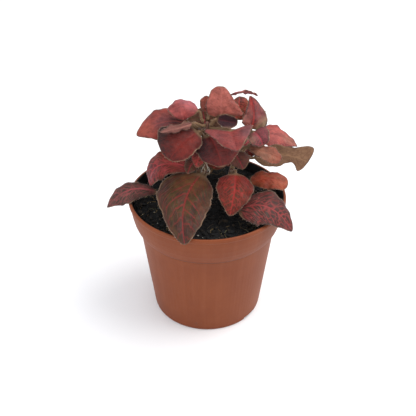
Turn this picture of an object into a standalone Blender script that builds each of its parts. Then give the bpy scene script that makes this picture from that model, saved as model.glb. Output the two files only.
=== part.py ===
"""Potted nerve plant: a small red-leaved creeping plant in a round terracotta-coloured plastic pot.

The origin is on the pot's axis in the plane it stands on. -Y is the front, +X the right, +Z up.
Dimensions below are in millimetres, and the objects are made in metres.
"""

import math
from collections import namedtuple

import bpy
import numpy as np
from mathutils import Vector, noise

MM = 0.001
GAP = 0.3  # clearance between pieces that touch on the real plant
MERGE = 0.01  # points closer than this are one point

# Pot
POT_HEIGHT = 76.0
RIM_RADIUS = 45.0
WALL = 1.2
POT_STEPS = 96
FOOT_WIDTH = 3.0
FOOT_DRAFT = 0.6  # how much the foot ring's inner side leans in
FLOOR_UNDERSIDE = 2.4
FLOOR_TOP = 3.6
DRAIN_HOLES = 6
DRAIN_RADIUS = 3.0
DRAIN_SIDES = 16
DRAIN_CIRCLE = 19.0
NOTCH_ANGLES = (-38.0, 142.0)  # degrees about +Z, from +X
NOTCH_LENGTH = 8.0
NOTCH_WIDTH = 10.0
NOTCH_HEIGHT = 1.8
# The outer side from the rolled lip to the foot: how far in from the rim, and how far down
POT_SIDE = [(0.9, 0.0), (0.35, 0.2), (0.0, 0.8), (0.0, 2.0), (0.25, 2.5), (0.85, 2.8),
            (1.1, 6.0), (1.7, 10.0), (2.5, 13.5), (3.5, 16.3), (4.5, 18.3), (5.1, 19.0), (5.8, 19.8),
            (6.4, 24.0), (12.4, 74.4), (12.7, 75.5), (13.4, 76.0)]
COLLAR_START, FOOT_START = 6, 14  # the places in that list where the wall begins and ends
LIP_INSIDE = [(1.9, 1.6), (1.8, 0.6), (1.4, 0.1)]
FLOOR_ROUNDING = 1.0

# Soil
SOIL_TOP = 70.0
SOIL_MOUND = 1.5  # how much higher the middle is than the edge
SOIL_LUMPS = 1.0
SOIL_LUMP_SIZES = (6.0, 2.7)
SOIL_LEVEL_EDGE = 0.25  # the outer share of the radius over which the lumps fade away
SOIL_GAP = 1.4 * GAP  # more than elsewhere, because the two round walls are faceted differently
SOIL_STEPS = 40
SOIL_RINGS = 7

# Stems and leaves
STEM_RADIUS = 1.5
STEM_SIDES = 2  # bevel resolution of the round stems
STEM_POINTS = 5  # points along each span between two named ones
STALK_RADIUS = 0.75
STALK_REACH = 0.35  # how far a leaf stalk keeps its first and last direction
STALK_RINGS = 4
BLADE_THICKNESS = 0.5
RIB_DEPTH = 0.5  # how far the midrib stands out below the blade, at the leaf's base
RIB_LENGTH = 0.6
LEAF_STATIONS = np.array([0.0, 0.05, 0.15, 0.27, 0.41, 0.55, 0.68, 0.8, 0.9, 0.96, 0.99])
LEAF_ACROSS = (-1.0, -0.5, 0.0, 0.5, 1.0)  # from the left margin over the midrib to the right one
MARGIN_SHARES = np.array([0.15, 0.35, 0.55, 0.75, 0.92])
TIP_HALF_WIDTH = 0.25
TIP_SWELL_LEAST = 0.4  # how full a margin stays at the tip, as a share of how full it is just before

# Each stem from its foot in the soil to its growing tip
STEMS = {
    "main_stem": [(-2, 0, 60), (-2, 1, 80), (-1, 2, 100), (0, 2, 121)],
    "right_stem": [(9, 4, 60), (12, 5, 80), (16, 7, 96), (20, 8, 109)],
    "back_stem": [(-4, 10, 60), (-5, 12, 76), (-5, 13, 92), (-4, 12, 107)],
}

# A leaf grows at the height node on its stem. Its midrib runs from base over crest to tip, and
# left and right are how far the margins are from it at the MARGIN_SHARES of its length, looking from
# base to tip. face is where the upper side looks, as azimuth and elevation in degrees. fold lifts the
# two halves from the midrib and curl bends them on towards the margins, in degrees. lobes is how far
# the halves lean back past the base, as a share of their width.
Leaf = namedtuple("Leaf", "stem node base crest tip left right face fold curl lobes finish")


def leaf(stem, node, base, crest, tip, left, right, face, finish, fold=5, curl=-25, lobes=0.0):
    return Leaf(stem, node, base, crest, tip, left, right, face, fold, curl, lobes, finish)


def ovate(widest):
    """The usual outline of one half, for a leaf that is widest a little below its middle."""
    return tuple(widest * share for share in (0.78, 1.0, 0.94, 0.68, 0.3))


LEAVES = {
    # The low leaves, which lie over the soil and the rim
    "leaf_front": leaf(
        "main_stem", 90, (-3, -5.5, 92.5), (-12, -26, 87), (-11.5, -47.5, 75.5),
        (11, 14, 13, 10, 5.5), (14, 17, 14, 9, 4), (-92, 65), "bronze_leaf"),
    "leaf_front_right": leaf(
        "right_stem", 88, (15.5, -9, 95), (14.5, -19, 89), (12, -27.5, 79.5),
        (8.5, 10.5, 9, 6.5, 3), (9, 10.5, 9, 6.5, 3), (-90, 45), "red_leaf"),
    "leaf_low_right": leaf(
        "right_stem", 76, (16.5, -21, 79), (32.5, -23, 82.5), (46.5, -27.5, 69.5),
        (6, 9.5, 11, 9, 4), (11, 13, 12, 8.5, 4), (-80, 70), "mauve_leaf", curl=-15),
    "leaf_right": leaf(
        "right_stem", 84, (24, 0, 84), (34.5, 0, 86), (46, 0, 82.3),
        (4.5, 5.5, 5.5, 5.5, 4.5), (4.5, 6.5, 6.5, 6.5, 5), (-90, 65), "coral_leaf"),
    "leaf_low_left": leaf(
        "main_stem", 76, (-28, -4, 79), (-43.5, -5, 81.7), (-57, -7.5, 71.5),
        (4, 7, 8, 6.5, 3), (3.5, 4.5, 6, 5, 2), (-95, 65), "mauve_leaf"),
    "leaf_left": leaf(
        "main_stem", 94, (-7.5, -2, 94), (-26.5, -0.5, 95), (-32.5, -3, 83),
        (5.5, 7, 8.5, 8.5, 5.5), (5, 8, 9, 9, 7), (-115, 60), "red_leaf"),
    # The crown
    "leaf_crown_left": leaf(
        "main_stem", 117, (-10.5, 2, 119.5), (-24, 2.5, 120.3), (-38, -2, 114.5),
        (5, 8, 9, 8.5, 4), (5, 9, 9, 6.5, 3), (-100, 57), "pink_leaf"),
    "leaf_crown_top_left": leaf(
        "main_stem", 121, (-4.5, 2, 127), (-12.5, 2, 130.5), (-20.5, -1, 128),
        (6, 8, 8.5, 8.5, 6), (4.5, 6, 6.5, 6, 4), (-90, 60), "pink_leaf", curl=-60),
    "leaf_crown_front_left": leaf(
        "main_stem", 113, (-5, -5.5, 118.6), (-13.5, -12.5, 115), (-20, -18, 108.5),
        (6.5, 8, 8.2, 7, 4), (7, 12, 15, 13, 7), (-105, 37), "crimson_leaf", lobes=0.2),
    "leaf_crown_left_curled": leaf(
        "main_stem", 119, (-8, -5, 123.4), (-15.5, -8.2, 122.6), (-25, -8.7, 120.5),
        (3, 4, 4, 3.5, 1.5), (3, 3.5, 3.5, 3, 1.5), (90, 28), "pink_leaf"),
    "leaf_crown_top": leaf(
        "main_stem", 121, (8, 3, 124), (7.5, 5, 131.5), (8.5, 9.5, 138),
        (7, 8.5, 8, 7, 5), (12, 10.5, 8.5, 6, 3), (-90, 30), "salmon_leaf", curl=-35, lobes=0.4),
    "leaf_crown_young": leaf(
        "main_stem", 119.6, (5.2, -0.5, 123.6), (10.7, -1.2, 122.7), (16.2, -1.4, 121.7),
        (3.5, 4.5, 4.5, 4, 2.5), (3, 4.1, 4.1, 3.7, 2), (-90, 20), "purple_leaf", fold=15, curl=40),
    "leaf_bud": leaf(
        "main_stem", 115.5, (-2.4, -2.2, 118.4), (-2.9, -3.6, 119.7), (-3.3, -5, 120.1),
        (1.4, 2, 2, 1.7, 0.9), (1.4, 2, 2, 1.7, 0.9), (-110, 50), "purple_leaf", fold=20, curl=-50),
    "leaf_crown_top_back": leaf(
        "main_stem", 121, (0.5, 6, 124.5), (-0.5, 8, 128.5), (0, 9.5, 132.5),
        (2.5, 3.5, 3.5, 3, 1.5), (2, 3, 3, 2.5, 1.5), (-90, 30), "salmon_leaf"),
    "leaf_crown_middle": leaf(
        "main_stem", 112, (-0.5, 6, 112.5), (-1.5, 8.7, 118), (-2.5, 12, 124.5),
        (8, 10.5, 10, 8, 4), (9, 11.5, 11, 9, 6), (-90, 35), "bronze_leaf"),
    "leaf_crown_back_right": leaf(
        "main_stem", 116, (15.5, 8, 119), (17, 10.5, 124.5), (17.5, 13, 130.5),
        (5, 6, 5.5, 4.5, 2), (5, 6, 6.5, 6, 4), (-90, 35), "red_leaf"),
    "leaf_crown_thin": leaf(
        "back_stem", 107, (12, 15, 130.5), (21, 18, 131), (28, 20, 127.5),
        ovate(4.5), ovate(4), (90, 55), "pink_leaf"),
    "leaf_crown_right": leaf(
        "right_stem", 109, (24, 6, 114.5), (25.3, 7, 123.5), (22.7, 8, 133),
        (6.5, 6.8, 5.2, 3.5, 1.5), (6.5, 7.5, 6, 4, 2), (-90, 15), "crimson_leaf", fold=30),
    "leaf_far_right": leaf(
        "right_stem", 108, (29, 10, 108), (40, 12, 106.5), (51, 11, 100.5),
        (6, 8.5, 7, 4.5, 2), (7.5, 9, 8, 5.5, 2), (-65, 65), "pink_leaf"),
    "leaf_turned_right": leaf(
        "right_stem", 99, (26, 1, 99), (42, 0, 101.5), (55.7, -2, 98),
        (7, 7.5, 6, 5, 8), (4.5, 6, 6, 6.5, 9.5), (90, 0), "mauve_leaf", curl=-10),
    "leaf_small_right": leaf(
        "right_stem", 106, (25, -0.5, 116), (28, -4, 114.5), (30, -5.5, 110),
        (5.5, 6.2, 6.2, 5, 2.8), (5.5, 7.2, 7.2, 5.8, 3), (-70, 50), "mauve_leaf", fold=25),
    "leaf_mid_right": leaf(
        "right_stem", 103, (22, -4.5, 108.7), (31, -8, 107.7), (40, -10.5, 104.3),
        (2.5, 4, 5, 5, 3), (2.5, 4, 5, 5, 3.5), (-90, 60), "salmon_leaf"),
    "leaf_crown_front": leaf(
        "main_stem", 117.8, (12.5, -6, 119.5), (13.5, -12.5, 118.5), (15.5, -20, 115),
        (11, 12, 9, 6, 3), (13, 12.5, 9.5, 7, 3), (-85, 45), "pink_leaf", fold=15, lobes=0.5),
    "leaf_crown_under_right": leaf(
        "main_stem", 109, (1, -5, 116.5), (5, -9.7, 110.7), (8, -15, 102.5),
        (3, 11.5, 15, 12.5, 6.5), (9, 11, 11, 9, 4.5), (-90, 35), "crimson_leaf", lobes=0.5),
    "leaf_crown_under": leaf(
        "main_stem", 104, (-3, -3, 107), (-4.5, -6, 104.5), (-6, -9.5, 98.7),
        (3.5, 5, 5, 4, 2), (3.5, 4.5, 4.5, 3.5, 1.5), (-95, 30), "red_leaf"),
    "leaf_inner_left": leaf(
        "main_stem", 98, (-6, -0.5, 97.5), (-9, -3, 96.5), (-11, -6, 92.5),
        ovate(4.5), ovate(4), (-100, 40), "bronze_leaf"),
    "leaf_shade_right": leaf(
        "main_stem", 98, (15, 1.5, 102), (17.5, -3, 99.7), (20, -5.5, 95.3),
        (4.5, 6, 6.5, 5, 2.5), (4.5, 5.5, 5, 3.5, 1.5), (-90, 40), "bronze_leaf"),
    # Round the back
    "leaf_back_low": leaf(
        "back_stem", 86, (-4, 19, 88), (-3, 33, 89), (-1, 47.6, 80),
        (11, 14, 13, 9, 4), (10, 13, 12.5, 9.5, 5), (90, 65), "bronze_leaf"),
    "leaf_back_low_left": leaf(
        "back_stem", 76, (-14, 17, 79), (-24, 22, 81), (-33, 26, 78),
        (6, 8, 8, 6.5, 3.5), (6.5, 8.5, 8, 5.5, 2.5), (130, 65), "mauve_leaf"),
    "leaf_back_right": leaf(
        "right_stem", 88, (18, 16, 90), (27, 27, 92), (34, 36, 84),
        (8, 10, 9, 6.5, 3), (7, 9.5, 9.5, 7.5, 4), (60, 65), "red_leaf"),
    "leaf_back_far_right": leaf(
        "right_stem", 97, (25, 14, 101), (35, 19, 102), (43, 23, 95),
        (6.5, 9, 8.5, 6, 3), (6, 8, 8, 6, 2.5), (60, 70), "crimson_leaf"),
    "leaf_back_crown": leaf(
        "back_stem", 103, (-5, 18, 109), (-6, 28, 109), (-7, 37, 101),
        (8, 11, 10.5, 8, 4), (9, 11, 10, 7, 3), (90, 60), "pink_leaf"),
    "leaf_back_crown_left": leaf(
        "back_stem", 105, (-12, 12, 112), (-22, 15, 113.5), (-32, 18, 106),
        (7, 9, 8.5, 6, 2.5), (6.5, 9, 9, 7, 3.5), (110, 65), "red_leaf"),
    "leaf_back_crown_right": leaf(
        "back_stem", 97, (2, 18, 101), (9, 26, 100), (15, 33, 91),
        (7, 9.5, 9.5, 7.5, 4), (7.5, 9, 8.5, 6, 2.5), (75, 60), "crimson_leaf"),
    "leaf_back_left": leaf(
        "back_stem", 100, (-14, 17, 103), (-24, 23, 104), (-33, 28, 97),
        (7, 9.5, 9, 6.5, 3), (6, 8, 8, 6.5, 3.5), (130, 60), "pink_leaf"),
    "leaf_back_mid_left": leaf(
        "back_stem", 92, (-11, 19, 97), (-18, 27, 97), (-22, 35, 89),
        (7.5, 9.5, 8.5, 6, 2.5), (7, 9.5, 9, 7, 4), (115, 60), "crimson_leaf"),
    "leaf_back_mid_right": leaf(
        "right_stem", 94, (20, 15, 98), (24, 23, 99), (27, 31, 93),
        (5.5, 7.5, 7.5, 6, 3), (6, 7.5, 7, 5, 2), (85, 60), "pink_leaf"),
    "leaf_back_upper": leaf(
        "back_stem", 106, (-3, 17, 115), (-4, 24, 115.5), (-5, 31, 110),
        (6, 8, 7.5, 5, 2), (6.5, 8, 8, 6, 3), (95, 60), "pink_leaf"),
    "leaf_back_upper_right": leaf(
        "right_stem", 109, (24, 13, 116), (27, 19, 119), (29, 25, 115),
        (5, 6, 5.5, 4, 2), (4.5, 6, 6, 4.5, 2), (70, 55), "red_leaf"),
    "leaf_back_low_right": leaf(
        "back_stem", 79, (3, 18, 81), (8, 26, 83), (12, 34, 78),
        (6, 7.5, 7, 5, 2.5), (5.5, 7.5, 7.5, 6, 3), (70, 65), "red_leaf"),
}

# Finish: base colour, roughness
FINISHES = {
    "pot_plastic": ((0.36, 0.13, 0.065), 0.55),
    "soil": ((0.020, 0.017, 0.014), 0.95),
    "stem": ((0.17, 0.12, 0.05), 0.75),
    "bronze_leaf": ((0.13, 0.075, 0.035), 0.6),
    "red_leaf": ((0.33, 0.055, 0.035), 0.6),
    "mauve_leaf": ((0.17, 0.065, 0.065), 0.6),
    "coral_leaf": ((0.42, 0.085, 0.04), 0.6),
    "crimson_leaf": ((0.26, 0.035, 0.04), 0.6),
    "pink_leaf": ((0.45, 0.12, 0.11), 0.6),
    "salmon_leaf": ((0.45, 0.13, 0.09), 0.6),
    "purple_leaf": ((0.07, 0.02, 0.03), 0.6),
}


# ---------------------------------------------------------------- objects and materials


def make_collection(name, hidden=False):
    collection = bpy.data.collections.new(name)
    collection.hide_render = hidden
    bpy.context.scene.collection.children.link(collection)
    return collection


def material(name):
    found = bpy.data.materials.get(name)
    if found:
        return found
    colour, roughness = FINISHES[name]
    made = bpy.data.materials.new(name)
    made.use_nodes = True
    shader = made.node_tree.nodes["Principled BSDF"]
    shader.inputs["Base Color"].default_value = (*colour, 1.0)
    shader.inputs["Roughness"].default_value = roughness
    shader.inputs["Metallic"].default_value = 0.0
    made.diffuse_color = (*colour, 1.0)
    return made


def add_object(name, data, finish, collection):
    thing = bpy.data.objects.new(name, data)
    collection.objects.link(thing)
    if finish:
        data.materials.append(material(finish))
    return thing


def mesh_object(name, points, faces, finish, collection):
    """An object from points in millimetres."""
    data = bpy.data.meshes.new(name)
    data.from_pydata([Vector(p) * MM for p in points], [], [tuple(int(i) for i in f) for f in faces])
    data.validate()
    data.shade_smooth()
    return add_object(name, data, finish, collection)


def turned(name, profile, steps, finish, collection):
    """A turned solid: the profile's points are (radius, height) and run down its outer side."""
    data = bpy.data.meshes.new(name)
    points = [(r * MM, 0.0, z * MM) for r, z in profile]
    edges = [(i, i + 1) for i in range(len(points) - 1)]
    data.from_pydata(points, edges, [])
    thing = add_object(name, data, finish, collection)
    screw = thing.modifiers.new("turn", "SCREW")
    screw.steps = steps
    screw.render_steps = steps
    screw.use_merge_vertices = True
    screw.merge_threshold = MERGE * MM
    screw.use_smooth_shade = True
    return thing


def cut(target, cutter):
    """Cut one object out of another, and keep the cutter out of the model."""
    cutter.hide_render = True
    cutter.display_type = "WIRE"
    boolean = target.modifiers.new("cut_" + cutter.name, "BOOLEAN")
    boolean.operation = "DIFFERENCE"
    boolean.solver = "EXACT"
    boolean.object = cutter


# ---------------------------------------------------------------- pot


def pot_side(inset_and_drop):
    """Points of the pot's outline as (radius, height)."""
    return [(RIM_RADIUS - inset, POT_HEIGHT - drop) for inset, drop in inset_and_drop]


def pot_inside():
    """The inner side from the floor's edge up to the lip, one wall inside the outer side."""
    wall = [(r - WALL, z) for r, z in reversed(pot_side(POT_SIDE[COLLAR_START:FOOT_START]))]
    foot = pot_side(POT_SIDE)[FOOT_START][0] - WALL
    floor = [(foot - FLOOR_ROUNDING, FLOOR_TOP), (foot, FLOOR_TOP + FLOOR_ROUNDING)]
    return [*floor, *wall, *pot_side(LIP_INSIDE)]


def make_pot(collection, cutters):
    outside = pot_side(POT_SIDE)
    foot = outside[-1][0] - FOOT_WIDTH
    underside = [(foot, 0.0), (foot - FOOT_DRAFT, FLOOR_UNDERSIDE), (0.0, FLOOR_UNDERSIDE), (0.0, FLOOR_TOP)]
    profile = [*outside, *underside, *pot_inside(), outside[0]]
    pot = turned("pot", profile, POT_STEPS, "pot_plastic", collection)
    reach = DRAIN_CIRCLE * MM
    for i in range(DRAIN_HOLES):
        angle = 2 * math.pi * (i + 0.5) / DRAIN_HOLES
        bpy.ops.mesh.primitive_cylinder_add(
            vertices=DRAIN_SIDES,
            radius=DRAIN_RADIUS * MM,
            depth=2 * FLOOR_TOP * MM,
            location=(reach * math.cos(angle), reach * math.sin(angle), FLOOR_TOP * MM),
        )
        cut(pot, take("drain_cutter_%d" % (i + 1), cutters))
    reach = (foot + FOOT_WIDTH / 2) * MM
    for i, degrees in enumerate(NOTCH_ANGLES):
        angle = math.radians(degrees)
        place = (reach * math.cos(angle), reach * math.sin(angle), 0.0)
        bpy.ops.mesh.primitive_cube_add(size=1.0, location=place, rotation=(0.0, 0.0, angle))
        notch = take("notch_cutter_%d" % (i + 1), cutters)
        notch.scale = (NOTCH_LENGTH * MM, NOTCH_WIDTH * MM, 2 * NOTCH_HEIGHT * MM)
        cut(pot, notch)
    return pot


def take(name, collection):
    """The object just added by an operator, renamed and moved to a collection."""
    thing = bpy.context.object
    thing.name = name
    for old in list(thing.users_collection):
        old.objects.unlink(thing)
    collection.objects.link(thing)
    return thing


# ---------------------------------------------------------------- soil


def soil_side():
    """The soil's side from its top edge down to the pot's floor, a gap inside the pot."""
    wall = [(r - SOIL_GAP, z) for r, z in pot_inside()]
    below = [p for p in wall if p[1] < SOIL_TOP]
    above = wall[len(below)]
    share = (SOIL_TOP - below[-1][1]) / (above[1] - below[-1][1])
    edge = (below[-1][0] + share * (above[0] - below[-1][0]), SOIL_TOP)
    foot = (below[0][0], FLOOR_TOP + GAP)
    return [edge, *reversed(below[1:]), foot]


def soil_height(x, y, edge):
    """The lumpy top, which is level at its edge."""
    inward = 1.0 - math.hypot(x, y) / edge
    coarse, fine = (noise.noise(Vector((x / size, y / size, size))) for size in SOIL_LUMP_SIZES)
    fade = min(1.0, inward / SOIL_LEVEL_EDGE)
    return SOIL_TOP + SOIL_MOUND * inward + SOIL_LUMPS * (coarse + 0.5 * fine) * fade


def make_soil(collection, cutters):
    side = soil_side()
    edge = side[0][0]
    points = [(0.0, 0.0, soil_height(0.0, 0.0, edge))]
    rings = [(edge * (i + 1) / SOIL_RINGS, None) for i in range(SOIL_RINGS)] + side[1:]
    for radius, height in rings:
        for k in range(SOIL_STEPS):
            angle = 2 * math.pi * k / SOIL_STEPS
            x, y = radius * math.cos(angle), radius * math.sin(angle)
            points.append((x, y, soil_height(x, y, edge) if height is None else height))
    points.append((0.0, 0.0, side[-1][1]))
    faces = []
    for k in range(SOIL_STEPS):
        after = (k + 1) % SOIL_STEPS
        faces.append((0, 1 + k, 1 + after))
        for ring in range(len(rings) - 1):
            low, high = 1 + ring * SOIL_STEPS, 1 + (ring + 1) * SOIL_STEPS
            faces.append((low + k, high + k, high + after, low + after))
        last = 1 + (len(rings) - 1) * SOIL_STEPS
        faces.append((last + k, len(points) - 1, last + after))
    soil = mesh_object("potting_soil", points, faces, "soil", collection)
    for name, route in STEMS.items():
        x, y, z = route[0]
        lower = [(x, y, z - GAP), *route[1:]]
        cut(soil, tube_mesh("socket_" + name, lower, STEM_RADIUS + GAP, cutters))
    return soil


# ---------------------------------------------------------------- stems


def smooth_route(route):
    """A Catmull-Rom curve through the route's points."""
    p = np.array(route, float)
    ends = np.vstack([2 * p[0] - p[1], p, 2 * p[-1] - p[-2]])
    t = np.linspace(0, 1, STEM_POINTS, endpoint=False)[:, None]
    spans = []
    for a, b, c, d in zip(ends, ends[1:], ends[2:], ends[3:]):
        bend = (2 * a - 5 * b + 4 * c - d) * t**2 + (3 * b - a - 3 * c + d) * t**3
        spans.append(0.5 * (2 * b + (c - a) * t + bend))
    return np.vstack([*spans, p[-1:]])


def tube(name, route, radius, finish, collection):
    data = bpy.data.curves.new(name, "CURVE")
    data.dimensions = "3D"
    data.bevel_depth = radius * MM
    data.bevel_resolution = STEM_SIDES
    data.use_fill_caps = True
    line = smooth_route(route)
    spline = data.splines.new("POLY")
    spline.points.add(len(line) - 1)
    for point, place in zip(spline.points, line):
        point.co = (*(place * MM), 1.0)
    return add_object(name, data, finish, collection)


def tube_mesh(name, route, radius, collection):
    """The same tube as a closed mesh, for cutting."""
    curve = tube(name + "_curve", route, radius, None, collection)
    graph = bpy.context.evaluated_depsgraph_get()
    data = bpy.data.meshes.new_from_object(curve.evaluated_get(graph))
    bpy.data.objects.remove(curve)
    thing = add_object(name, data, None, collection)
    weld = thing.modifiers.new("weld", "WELD")
    weld.merge_threshold = MERGE * MM
    return thing


def stem_at(stem, height):
    """The centre of a stem at a height, and the direction it grows in."""
    line = smooth_route(STEMS[stem])
    i = int(np.argmin(np.abs(line[:, 2] - height)))
    direction = unit(line[min(i + 1, len(line) - 1)] - line[max(i - 1, 0)])
    return line[i] + direction * (height - line[i][2]) / direction[2], direction


# ---------------------------------------------------------------- leaves


def unit(vector):
    return vector / np.linalg.norm(vector)


def towards(azimuth, elevation):
    a, e = math.radians(azimuth), math.radians(elevation)
    return np.array([math.cos(a) * math.cos(e), math.sin(a) * math.cos(e), math.sin(e)])


def margin(widths, s):
    """How far a margin is from the midrib at the shares s: a smooth curve through the widths."""
    at = np.array([0.0, *MARGIN_SHARES, 1.0])
    swell = np.array(widths) / np.sqrt(MARGIN_SHARES * (1 - MARGIN_SHARES))
    last, before = swell[-1], swell[-2]
    swell = np.array([swell[0], *swell, max(TIP_SWELL_LEAST * last, last + 0.6 * (last - before))])
    slope = np.gradient(swell, at)
    i = np.clip(np.searchsorted(at, s, side="right") - 1, 0, len(at) - 2)
    step = at[i + 1] - at[i]
    t = (s - at[i]) / step
    ends = swell[i] * (1 + 2 * t) * (1 - t) ** 2 + swell[i + 1] * t**2 * (3 - 2 * t)
    bend = step * (slope[i] * t * (1 - t) ** 2 - slope[i + 1] * t**2 * (1 - t))
    return (ends + bend) * np.sqrt(s * (1 - s))


def midrib(shape_of, s):
    """Points on the midrib at the shares s of its length."""
    base, crest, tip = (np.array(p, float) for p in (shape_of.base, shape_of.crest, shape_of.tip))
    middle = 2 * crest - (base + tip) / 2
    s = s[:, None]
    return (1 - s) ** 2 * base + 2 * s * (1 - s) * middle + s**2 * tip


def blade_frames(shape_of, s):
    """The midrib's points, directions, directions to the right and upper-face normals."""
    step = 0.001
    along = midrib(shape_of, np.clip(s + step, 0, 1)) - midrib(shape_of, np.clip(s - step, 0, 1))
    along /= np.linalg.norm(along, axis=1)[:, None]
    chord = unit(np.array(shape_of.tip, float) - np.array(shape_of.base, float))
    side = unit(np.cross(chord, towards(*shape_of.face)))
    side = side - (along @ side)[:, None] * along
    side /= np.linalg.norm(side, axis=1)[:, None]
    return midrib(shape_of, s), along, side, np.cross(side, along)


def blade_line(shape_of, s, across, frames):
    """The blade's upper side at one share of its half-width, -1 to 1, along all of its length."""
    points, along, side, normal = frames
    fold, curl = math.radians(shape_of.fold), math.radians(shape_of.curl)
    reach = abs(across)
    out = (math.sin(fold + curl * reach) - math.sin(fold)) / curl * math.copysign(1.0, across)
    lift = (math.cos(fold) - math.cos(fold + curl * reach)) / curl
    width = margin(shape_of.left if across < 0 else shape_of.right, s)[:, None]
    back = along * (reach**2 * shape_of.lobes * (1 - s))[:, None]
    return points + width * (side * out + normal * lift - back)


def round_ring(centre, side, normal, radius, flatness=1.0):
    """A ring with as many points as a ring round the blade, starting at the left."""
    half = len(LEAF_ACROSS) - 1
    turns = [math.pi * (1 - k / half) for k in range(2 * half)]
    return [centre + radius * (side * math.cos(a) + normal * flatness * math.sin(a)) for a in turns]


def stalk_rings(shape_of):
    """Rings round the leaf stalk, which leaves its stem squarely and runs into the midrib."""
    centre, direction = stem_at(shape_of.stem, shape_of.node)
    base = np.array(shape_of.base, float)
    out = base - centre
    out = unit(out - direction * (out @ direction))
    start = centre + out * (STEM_RADIUS + GAP)
    _, along, side, _ = blade_frames(shape_of, np.array([0.0]))
    reach = STALK_REACH * np.linalg.norm(base - start)
    a, b = start + out * reach, base - along[0] * reach
    t = np.linspace(0, 1, STALK_RINGS, endpoint=False)[:, None]
    line = (1 - t) ** 3 * start + 3 * t * (1 - t) ** 2 * a + 3 * t**2 * (1 - t) * b + t**3 * base
    line = np.vstack([line, base])
    rings = []
    for i in range(STALK_RINGS):
        forward = out if i == 0 else unit(line[i + 1] - line[i - 1])
        right = unit(side[0] - forward * (side[0] @ forward))
        rings.append(round_ring(line[i], right, np.cross(right, forward), STALK_RADIUS))
    return rings


def blade_rings(shape_of):
    """Rings round the blade: over its upper side from left to right, and back below it."""
    s = LEAF_STATIONS
    frames = blade_frames(shape_of, s)
    widths = np.minimum(margin(shape_of.left, s), margin(shape_of.right, s))
    upper = [blade_line(shape_of, s, c, frames) for c in LEAF_ACROSS]
    rings = []
    for j in range(len(s)):
        centre, along, side, normal = (f[j] for f in frames)
        if widths[j] < STALK_RADIUS:
            at_base = s[j] < 0.5
            radius = STALK_RADIUS if at_base else max(widths[j], TIP_HALF_WIDTH)
            rings.append(round_ring(centre, side, normal, radius, 1.0 if at_base else 0.5))
            continue
        ring = [line[j] for line in upper]
        for k in range(len(LEAF_ACROSS) - 2, 0, -1):
            away = unit(np.cross(upper[k + 1][j] - upper[k - 1][j], along))
            rib = RIB_DEPTH * max(0.0, 1 - s[j] / RIB_LENGTH) if LEAF_ACROSS[k] == 0 else 0.0
            ring.append(upper[k][j] - away * (BLADE_THICKNESS + rib))
        rings.append(ring)
    return rings


def make_leaf(name, shape_of, collection):
    """A leaf that grew as one piece: stalk and blade in one closed skin."""
    rings = stalk_rings(shape_of) + blade_rings(shape_of)
    count = len(rings[0])
    faces = [tuple(reversed(range(count)))]
    for i in range(len(rings) - 1):
        for k in range(count):
            a, b = i * count + k, i * count + (k + 1) % count
            faces.append((a, b, a + count))
            faces.append((b, b + count, a + count))
    last = (len(rings) - 1) * count
    faces.append(tuple(last + k for k in range(count)))
    points = [p for ring in rings for p in ring]
    return mesh_object(name, points, faces, shape_of.finish, collection)


# ---------------------------------------------------------------- the plant


def main():
    for old in list(bpy.data.objects):
        bpy.data.objects.remove(old)
    plant = make_collection("potted_nerve_plant")
    cutters = make_collection("cutters", hidden=True)
    make_pot(plant, cutters)
    make_soil(plant, cutters)
    for name, route in STEMS.items():
        tube(name, route, STEM_RADIUS, "stem", plant)
    for name, shape_of in LEAVES.items():
        make_leaf(name, shape_of, plant)


main()
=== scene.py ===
import math
import random
from collections import namedtuple

import bpy
import numpy as np
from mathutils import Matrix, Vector, noise


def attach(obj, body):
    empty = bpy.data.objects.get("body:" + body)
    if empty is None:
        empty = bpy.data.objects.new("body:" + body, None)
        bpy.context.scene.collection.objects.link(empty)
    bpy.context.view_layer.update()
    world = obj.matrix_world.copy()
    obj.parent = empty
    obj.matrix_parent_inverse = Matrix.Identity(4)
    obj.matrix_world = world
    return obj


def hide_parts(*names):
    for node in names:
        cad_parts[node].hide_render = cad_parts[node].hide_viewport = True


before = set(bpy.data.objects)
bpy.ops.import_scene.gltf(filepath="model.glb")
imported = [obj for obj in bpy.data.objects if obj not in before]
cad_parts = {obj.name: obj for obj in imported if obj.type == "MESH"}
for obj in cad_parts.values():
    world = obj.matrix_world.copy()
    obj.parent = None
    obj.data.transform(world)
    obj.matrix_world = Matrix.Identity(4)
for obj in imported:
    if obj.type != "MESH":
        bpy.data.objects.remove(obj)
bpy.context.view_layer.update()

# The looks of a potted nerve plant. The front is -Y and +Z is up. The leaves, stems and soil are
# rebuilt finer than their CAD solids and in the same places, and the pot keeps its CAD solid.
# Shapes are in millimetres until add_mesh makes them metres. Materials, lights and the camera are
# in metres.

MM = 0.001
TAU = math.tau
GAP = 0.3  # between a leaf stalk and its stem

# Stems, named without "_stem", from the foot in the soil to the growing tip
STEMS = {
    "main": [(-2, 0, 60), (-2, 1, 80), (-1, 2, 100), (0, 2, 121)],
    "right": [(9, 4, 60), (12, 5, 80), (16, 7, 96), (20, 8, 109)],
    "back": [(-4, 10, 60), (-5, 12, 76), (-5, 13, 92), (-4, 12, 107)],
}
STEM_POINTS = 5  # points along each span between two named ones
STEM_RADIUS = 1.5
STALK_RADIUS = 0.75
STALK_REACH = 0.35  # how far a leaf stalk keeps its first and last direction

MARGIN_SHARES = np.array([0.15, 0.35, 0.55, 0.75, 0.92])

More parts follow.
